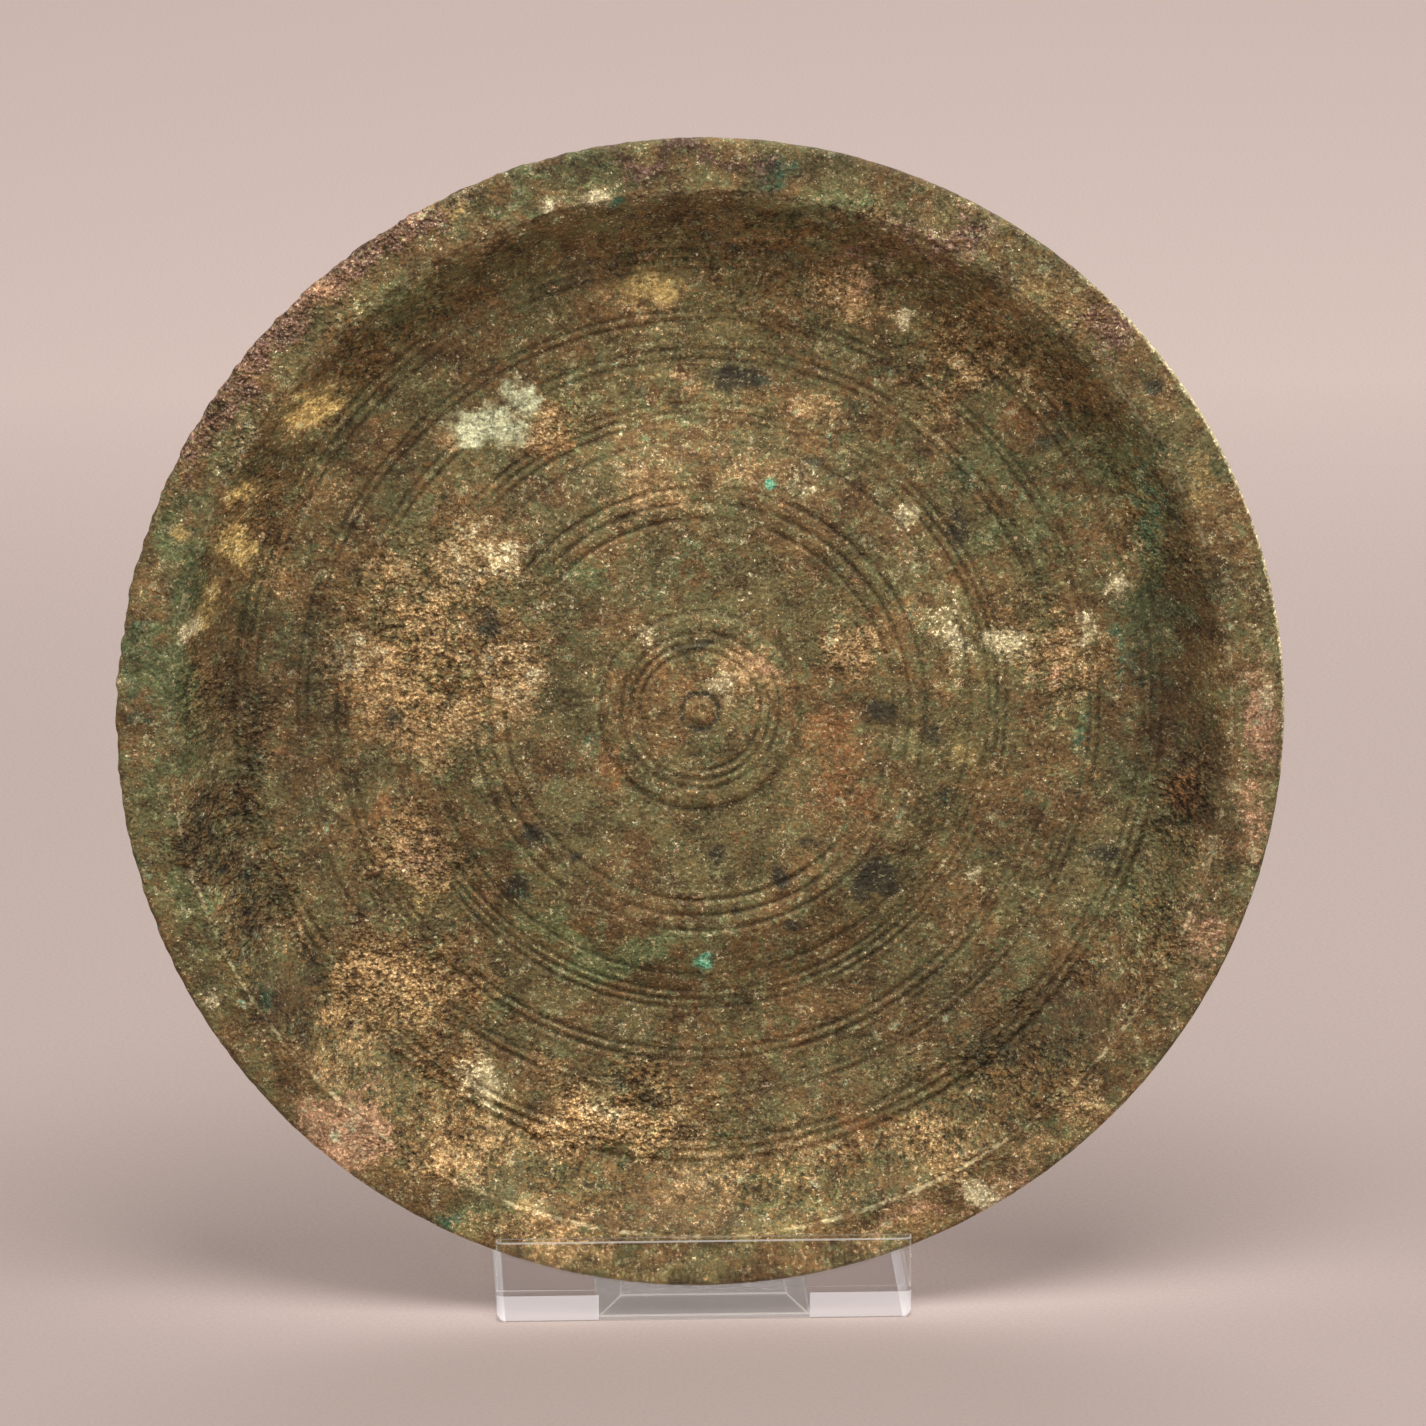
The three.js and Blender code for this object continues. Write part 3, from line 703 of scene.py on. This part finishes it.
def patina_material():
    graph = Graph("patinated_bronze")
    place = graph.layer("plane")
    masks = graph.masks()
    crust = masks["crust"]
    broad = graph.uneven(place, 0.09, 4, 0.65)
    middle = graph.uneven(place, 0.34, 4, 0.75, 31)
    small = graph.noise(place, 1.1, 3, 0.7, 57)
    grit = graph.uneven(place, 2.5, 3, 0.8, 83)
    colour = graph.mix(graph.ramp(broad, -0.8, 0.8), OLIVE, OLIVE_BROWN)
    colour = graph.mix(graph.ramp(middle, 0.1, 1.9, 0.8), colour, MOSS)
    brown = graph.uneven(place, 0.25, 4, 0.75, 113)
    colour = graph.mix(graph.ramp(brown, 0.2, 1.9, 0.7), colour, UMBER)
    earth = graph.scaled(crust, 1.3, graph.uneven(place, 0.8, 4, 0.75, 211))
    colour = graph.mix(graph.ramp(earth, 0.7, 2.6, 0.75), colour, EARTH)

    clumps = graph.uneven(place, 0.42, 3, 0.6, 701, 0.12)
    wide_flecks = graph.ramp(graph.uneven(place, 1.4, 3, 0.8, 11), -0.6, 1.6)
    fine_flecks = graph.ramp(graph.uneven(place, 2.3, 3, 0.8, 34), -0.6, 1.6)
    for i, (kind, (shade, second, most, size, ragged)) in enumerate(PATINA.items()):
        body = graph.math("ADD", masks[kind], clumps)
        amount = graph.math("ADD", body, graph.uneven(place, size, 3, 0.8, 7 + 19 * i, ragged))
        colour = graph.mix(graph.ramp(body, 0.2, 1.0, 0.6), colour, shade)
        flecks = fine_flecks if size > 1 else wide_flecks
        colour = graph.mix(graph.ramp(amount, 0.66, 1.0, most), colour, graph.mix(flecks, shade, second))

    specks = graph.ramp(graph.uneven(place, 1.4, 3, 0.8, 251), 1.7, 2.5, 0.42)
    colour = graph.mix(specks, colour, BONE)
    flakes = graph.ramp(graph.uneven(place, 0.75, 3, 0.75, 277), 1.5, 2.2, 0.5)
    colour = graph.mix(flakes, colour, LICHEN)
    pits = graph.ramp(graph.uneven(place, 1.0, 4, 0.8, 307), 1.2, 2.3)
    colour = graph.mix(graph.math("MULTIPLY", pits, graph.scaled(crust, 0.45, 0.35)), colour, SOOT)

    lump = graph.uneven(place, 0.6, 2, 0.5, 401)
    grain = graph.uneven(place, 1.5, 1, 0.5, 443)
    gain = graph.uneven(place, 0.16, 5, 0.7, 601, 0.13, 1.0)
    bent = graph.bend(place, 0.9, 0.35)
    grains_wide = graph.packed(bent, 0.95)
    grains_fine = graph.packed(bent, 1.9)
    # The lump, grain and grains layers also raise the bump below, so their lighter tops and darker gaps are
    # partly the crust's own tone and partly painted light and shade of its relief.
    # Each layer: its noise, its contrast on clean metal and how much more it has on crust
    layers = ((middle, 0.06, 0.0), (grit, 0.17, 0.03), (grain, 0.06, 0.02), (lump, 0.04, 0.07),
              (grains_wide, 0.0, 0.34), (grains_fine, 0.04, 0.3))
    for noise, least, more in layers:
        contrast = graph.scaled(crust, more, least) if more else least
        gain = graph.scaled(noise, contrast, gain)
    gain = graph.math("MULTIPLY", graph.math("MAXIMUM", gain, 0.3), BRIGHTNESS)
    # Painted light and painted shade, partly the patina's own tone: the light and shade spots brighten and
    # darken the colour.
    darker = graph.scaled(masks["shade"], -SHADE_SHARE, 1.0)
    gain = graph.math("MULTIPLY", gain, graph.scaled(masks["light"], LIGHT_SHARE, darker))
    radius = radius_of(graph, place)
    line = ring_lines(graph, radius)
    line = graph.math("MULTIPLY", graph.math("MULTIPLY", line, masks["worked"]), graph.ramp(small, 0.3, 0.5))
    gain = graph.math("MULTIPLY", gain, graph.scaled(line, -LINE_SHADE, 1.0))
    # Painted highlight: a pale line along the rim's inner edge, where the edge catches the light.
    from_ledge = graph.math("ABSOLUTE", graph.math("SUBTRACT", radius, RIM_INNER))
    painted_ledge_highlight = graph.ramp(from_ledge, 1.5 * LINE_WIDTH, 0.3 * LINE_WIDTH)
    painted_ledge_highlight = graph.math("MULTIPLY", painted_ledge_highlight, graph.ramp(middle, -0.6, 1.2, 0.4))
    colour = graph.mix(painted_ledge_highlight, colour, BONE)
    scaled = graph.node("ShaderNodeVectorMath", operation="SCALE")
    graph.put(scaled.inputs[0], colour)
    graph.put(scaled.inputs["Scale"], gain)

    relief = 0.0
    rough = ((lump, 0.022, 0.12), (grain, 0.026, 0.05),
             (grains_wide, 0.0, 0.15), (grains_fine, 0.012, 0.1))
    for noise, least, more in rough:
        relief = graph.scaled(noise, graph.scaled(crust, more, least), relief)
    bump = graph.node("ShaderNodeBump")
    bump.inputs["Strength"].default_value = 1.0
    bump.inputs["Distance"].default_value = BUMP_DEPTH
    graph.put(bump.inputs["Height"], relief)

    shader = graph.node("ShaderNodeBsdfPrincipled")
    graph.put(shader.inputs["Base Color"], scaled.outputs[0])
    graph.put(shader.inputs["Roughness"], graph.scaled(small, 0.3, graph.scaled(crust, 0.15, 0.58)))
    shader.inputs["Metallic"].default_value = 0.08
    shader.inputs["Specular IOR Level"].default_value = 0.3
    graph.put(shader.inputs["Normal"], bump.outputs["Normal"])
    output = graph.node("ShaderNodeOutputMaterial")
    graph.put(output.inputs["Surface"], shader.outputs["BSDF"])
    return graph.material


# How far the drawn lines wander to and fro, in millimetres
WANDER = 0.3


def radius_of(graph, place):
    """Distance from the mirror's centre, wandering a little to and fro."""
    split = graph.node("ShaderNodeSeparateXYZ")
    graph.put(split.inputs[0], place)
    across = graph.math("POWER", split.outputs["X"], 2.0)
    upward = graph.math("POWER", split.outputs["Y"], 2.0)
    distance = graph.math("SQRT", graph.math("ADD", across, upward))
    return graph.scaled(graph.noise(place, 0.25, 2, 0.5, 503), WANDER, distance)


def ring_lines(graph, radius):
    """A thin line at the bottom of every turned groove, 1 in its middle."""
    total = 0.0
    marks = [(g["first"] * FIELD, g["pitch"] * FIELD, g["grooves"], LINE_WIDTH) for g in RINGS]
    marks.append((MOAT_RADIUS, 1.0, 1, 2.2 * LINE_WIDTH))
    marks.append((DISC_RADIUS + DISC_FLANK, 1.0, 1, 1.3 * LINE_WIDTH))
    for first, pitch, grooves, width in marks:
        away = graph.scaled(radius, 1 / pitch, -(first + 0.5 * WANDER) / pitch)
        if grooves > 1:
            nearest = graph.math("MAXIMUM", graph.math("ROUND", away), 0.0)
            away = graph.math("SUBTRACT", away, graph.math("MINIMUM", nearest, grooves - 1.0))
        shade = graph.ramp(graph.math("ABSOLUTE", away), 1.8 * width / pitch, 0.2 * width / pitch)
        total = graph.math("MAXIMUM", shade, total)
    return total


# Each finish of the stand: colour, transmission, alpha, roughness and painted glow
ACRYLIC = {
    "clear_acrylic": ((0.975, 0.97, 0.96, 1), 1.0, 0.14, 0.02, 0.0),
    # The edge finish is whiter and less clear than the body: a painted highlight along the broken edges.
    "acrylic_edge_highlight": ((0.93, 0.92, 0.88, 1), 0.3, 0.42, 0.25, 0.0),
    # The foot finish is partly a frosted surface and partly a painted glow that stands in for the
    # reflections inside the milky feet.
    "acrylic_foot": ((0.95, 0.95, 0.98, 1), 0.1, 0.5, 0.3, 0.18),
}


def acrylic_material(name):
    colour, transmission, alpha, roughness, painted_glow = ACRYLIC[name]
    graph = Graph(name)
    shader = graph.node("ShaderNodeBsdfPrincipled")
    shader.inputs["Base Color"].default_value = colour
    shader.inputs["Transmission Weight"].default_value = transmission
    shader.inputs["IOR"].default_value = 1.49
    shader.inputs["Alpha"].default_value = alpha
    shader.inputs["Emission Color"].default_value = colour
    shader.inputs["Emission Strength"].default_value = painted_glow
    shader.inputs["Roughness"].default_value = roughness
    output = graph.node("ShaderNodeOutputMaterial")
    graph.put(output.inputs["Surface"], shader.outputs["BSDF"])
    return graph.material


# Stand: broken edges, and the feet below a height and beside the channel

STAND_EDGE = 0.22 * MM
FLAT_ANGLE = math.radians(1)
SHARP_ANGLE = math.radians(30)
BODY_FINISH, EDGE_FINISH, FOOT_FINISH = 0, 1, 2
FOOT_HEIGHT = 4.0 * MM
CHANNEL_HALF = 15.5 * MM


def build_stand():
    """The stand's own form with finely broken edges, whose finish paints a highlight along them, and milky
    feet with a faint painted glow.
    """
    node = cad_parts["acrylic_stand"]
    form = bmesh.new()
    form.from_mesh(node.data)
    bmesh.ops.remove_doubles(form, verts=form.verts, dist=1e-6)
    bmesh.ops.dissolve_limit(form, angle_limit=FLAT_ANGLE, verts=form.verts, edges=form.edges)
    for at in (Vector((0, 0, FOOT_HEIGHT)), Vector((CHANNEL_HALF, 0, 0)), Vector((-CHANNEL_HALF, 0, 0))):
        parts = form.verts[:] + form.edges[:] + form.faces[:]
        bmesh.ops.bisect_plane(form, geom=parts, plane_co=at, plane_no=at.normalized())
    form.normal_update()
    for face in form.faces:
        middle = face.calc_center_median()
        foot = middle.z < FOOT_HEIGHT and abs(middle.x) > CHANNEL_HALF
        shows = face.normal.y < -0.3 or face.normal.z < -0.3
        face.material_index = FOOT_FINISH if foot and shows else BODY_FINISH
    sharp = [e for e in form.edges if e.is_manifold and e.calc_face_angle() > SHARP_ANGLE]
    made = bmesh.ops.bevel(form, geom=sharp, offset=STAND_EDGE, segments=2, profile=0.5, affect="EDGES")
    for face in made["faces"]:
        face.material_index = EDGE_FINISH
    mesh = bpy.data.meshes.new("clear_stand")
    form.to_mesh(mesh)
    form.free()
    piece = bpy.data.objects.new("clear_stand", mesh)
    bpy.context.scene.collection.objects.link(piece)
    for name in ACRYLIC:
        mesh.materials.append(acrylic_material(name))
    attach(piece, "root")
    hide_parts("acrylic_stand")
    return piece


# Floor, light and camera

# Painted light and shade on the floor from the front to far behind, darker just behind the stand and much
# lighter far behind: distance in metres, share
FLOOR_PAINTED_LIGHT = [
    (-0.4, 0.64), (-0.015, 0.64), (0.036, 0.6), (0.09, 0.7), (0.2, 0.72),
    (0.33, 0.74), (0.48, 0.86), (0.65, 1.1), (0.95, 1.95),
]
# Painted light on the paper around the stand, most under it, which lightens the stand's cast shadow: share,
# and how far it reaches in metres
PAINTED_FILL, PAINTED_FILL_ACROSS, PAINTED_FILL_BEHIND, PAINTED_FILL_BEFORE = 1.1, 0.062, 0.045, 0.02
FLOOR_SIZE = 4.0
FLOOR_COLOUR = paint(196, 180, 174)
FIBRE_COLOUR = paint(120, 105, 98)


def floor_material():
    graph = Graph("seamless_paper")
    place = graph.node("ShaderNodeTexCoord").outputs["Object"]
    split = graph.node("ShaderNodeSeparateXYZ")
    graph.put(split.inputs[0], place)
    low, high = FLOOR_PAINTED_LIGHT[0][0], FLOOR_PAINTED_LIGHT[-1][0]
    along = graph.math("DIVIDE", graph.math("SUBTRACT", split.outputs["Y"], low), high - low, True)
    ramp = graph.node("ShaderNodeValToRGB")
    ramp.color_ramp.interpolation = "B_SPLINE"
    stops = ramp.color_ramp.elements
    while len(stops) < len(FLOOR_PAINTED_LIGHT):
        stops.new(0.5)
    for stop, (distance, share) in zip(stops, FLOOR_PAINTED_LIGHT):
        stop.position = (distance - low) / (high - low)
        stop.color = (share, share, share, 1)
    graph.put(ramp.inputs[0], along)
    # Painted light and shade: the floor a little darker on the left and lighter on the right.
    painted_side_light = graph.node("ShaderNodeMapRange")
    graph.put(painted_side_light.inputs["Value"], split.outputs["X"])
    painted_side_light.inputs["From Min"].default_value = -0.12
    painted_side_light.inputs["From Max"].default_value = 0.12
    painted_side_light.inputs["To Min"].default_value = 0.99
    painted_side_light.inputs["To Max"].default_value = 1.015
    # Painted light that lightens the stand's cast shadow, strongest under the stand.
    across = graph.math("DIVIDE", split.outputs["X"], PAINTED_FILL_ACROSS)
    behind = graph.math("DIVIDE", split.outputs["Y"], PAINTED_FILL_BEHIND)
    before = graph.math("DIVIDE", split.outputs["Y"], -PAINTED_FILL_BEFORE)
    away = graph.math("MAXIMUM", behind, before)
    away = graph.math("ADD", graph.math("POWER", away, 2.0), graph.math("MULTIPLY", across, across))
    painted_fill = graph.math("POWER", math.e, graph.math("MULTIPLY", away, -1.0))
    painted_fill = graph.math("ADD", graph.math("MULTIPLY", painted_fill, PAINTED_FILL), 1.0)
    lit = graph.node("ShaderNodeVectorMath", operation="SCALE")
    graph.put(lit.inputs[0], ramp.outputs["Color"])
    graph.put(lit.inputs["Scale"], graph.math("MULTIPLY", painted_side_light.outputs["Result"], painted_fill))
    colour = graph.mix(1.0, FLOOR_COLOUR, lit.outputs[0], "MULTIPLY")
    fibres = graph.ramp(graph.noise(place, 1600, 2, 0.6), 0.35, 0.65, 0.12)
    colour = graph.mix(fibres, colour, FIBRE_COLOUR)
    shader = graph.node("ShaderNodeBsdfPrincipled")
    graph.put(shader.inputs["Base Color"], colour)
    shader.inputs["Roughness"].default_value = 0.9
    shader.inputs["Specular IOR Level"].default_value = 0.1
    output = graph.node("ShaderNodeOutputMaterial")
    graph.put(output.inputs["Surface"], shader.outputs["BSDF"])
    return graph.material


def build_floor():
    mesh = bpy.data.meshes.new("paper_floor")
    half = FLOOR_SIZE
    corners = [(-half, -half, 0), (half, -half, 0), (half, half, 0), (-half, half, 0)]
    mesh.from_pydata(corners, [], [(0, 1, 2, 3)])
    floor = bpy.data.objects.new("paper_floor", mesh)
    bpy.context.scene.collection.objects.link(floor)
    mesh.materials.append(floor_material())


# Each light: place, size in metres, power in watts, colour
LIGHTS = {
    "key": ((0.13, -0.5, 1.3), 0.8, 15.5, (1.0, 0.965, 0.93)),
    "key_left": ((-0.4, -0.5, 1.25), 0.9, 5.0, (1.0, 0.97, 0.94)),
    "fill": ((-0.5, -1.4, 0.8), 1.4, 3.5, (0.98, 0.98, 1.0)),
    "edge": ((1.1, -0.1, 0.6), 0.4, 3.0, (1.0, 0.99, 0.97)),
    "back": ((0.1, 1.3, 1.3), 1.4, 10.0, (1.0, 0.98, 0.97)),
}
LIGHT_AIM = Vector((0, 0, 0.08))
SKY = (0.86, 0.80, 0.78, 1)
SKY_STRENGTH = 0.45


def build_lights():
    for name, (place, size, power, colour) in LIGHTS.items():
        data = bpy.data.lights.new(name, "AREA")
        data.shape = "DISK"
        data.size = size
        data.energy = power
        data.color = colour
        light = bpy.data.objects.new(name, data)
        light.location = place
        light.rotation_euler = (LIGHT_AIM - Vector(place)).to_track_quat("-Z", "Y").to_euler()
        bpy.context.scene.collection.objects.link(light)
    sky = bpy.data.worlds.new("studio")
    sky.use_nodes = True
    background = sky.node_tree.nodes["Background"]
    background.inputs["Color"].default_value = SKY
    background.inputs["Strength"].default_value = SKY_STRENGTH
    bpy.context.scene.world = sky


# View: the photograph's angle, distance and frame
CAMERA_DISTANCE = 1.5
CAMERA_UP = math.radians(15.2)
CAMERA_LEFT = math.radians(2.4)
FRAME_WIDTH = 1426 * 2 * RADIUS * MM / 1169.8
AIM_RIGHT, AIM_ABOVE = 1.6 * MM, 1.0 * MM
SENSOR = 36.0


def build_camera():
    towards = Vector((
        -math.sin(CAMERA_LEFT) * math.cos(CAMERA_UP),
        -math.cos(CAMERA_LEFT) * math.cos(CAMERA_UP),
        math.sin(CAMERA_UP),
    ))
    right = Vector((math.cos(CAMERA_LEFT), -math.sin(CAMERA_LEFT), 0))
    above = towards.cross(right)
    aim = Vector(mirror_centre() * MM) + right * AIM_RIGHT + above * AIM_ABOVE
    data = bpy.data.cameras.new("camera")
    data.sensor_width = SENSOR
    data.sensor_fit = "HORIZONTAL"
    data.lens = SENSOR * CAMERA_DISTANCE / FRAME_WIDTH
    data.clip_start = 0.05
    camera = bpy.data.objects.new("camera", data)
    camera.location = aim + towards * CAMERA_DISTANCE
    camera.rotation_euler = (-towards).to_track_quat("-Z", "Y").to_euler()
    bpy.context.scene.collection.objects.link(camera)
    bpy.context.scene.camera = camera


bpy.context.scene.view_settings.view_transform = "Standard"
build_camera()
build_floor()
build_lights()
build_mirror()
build_stand()
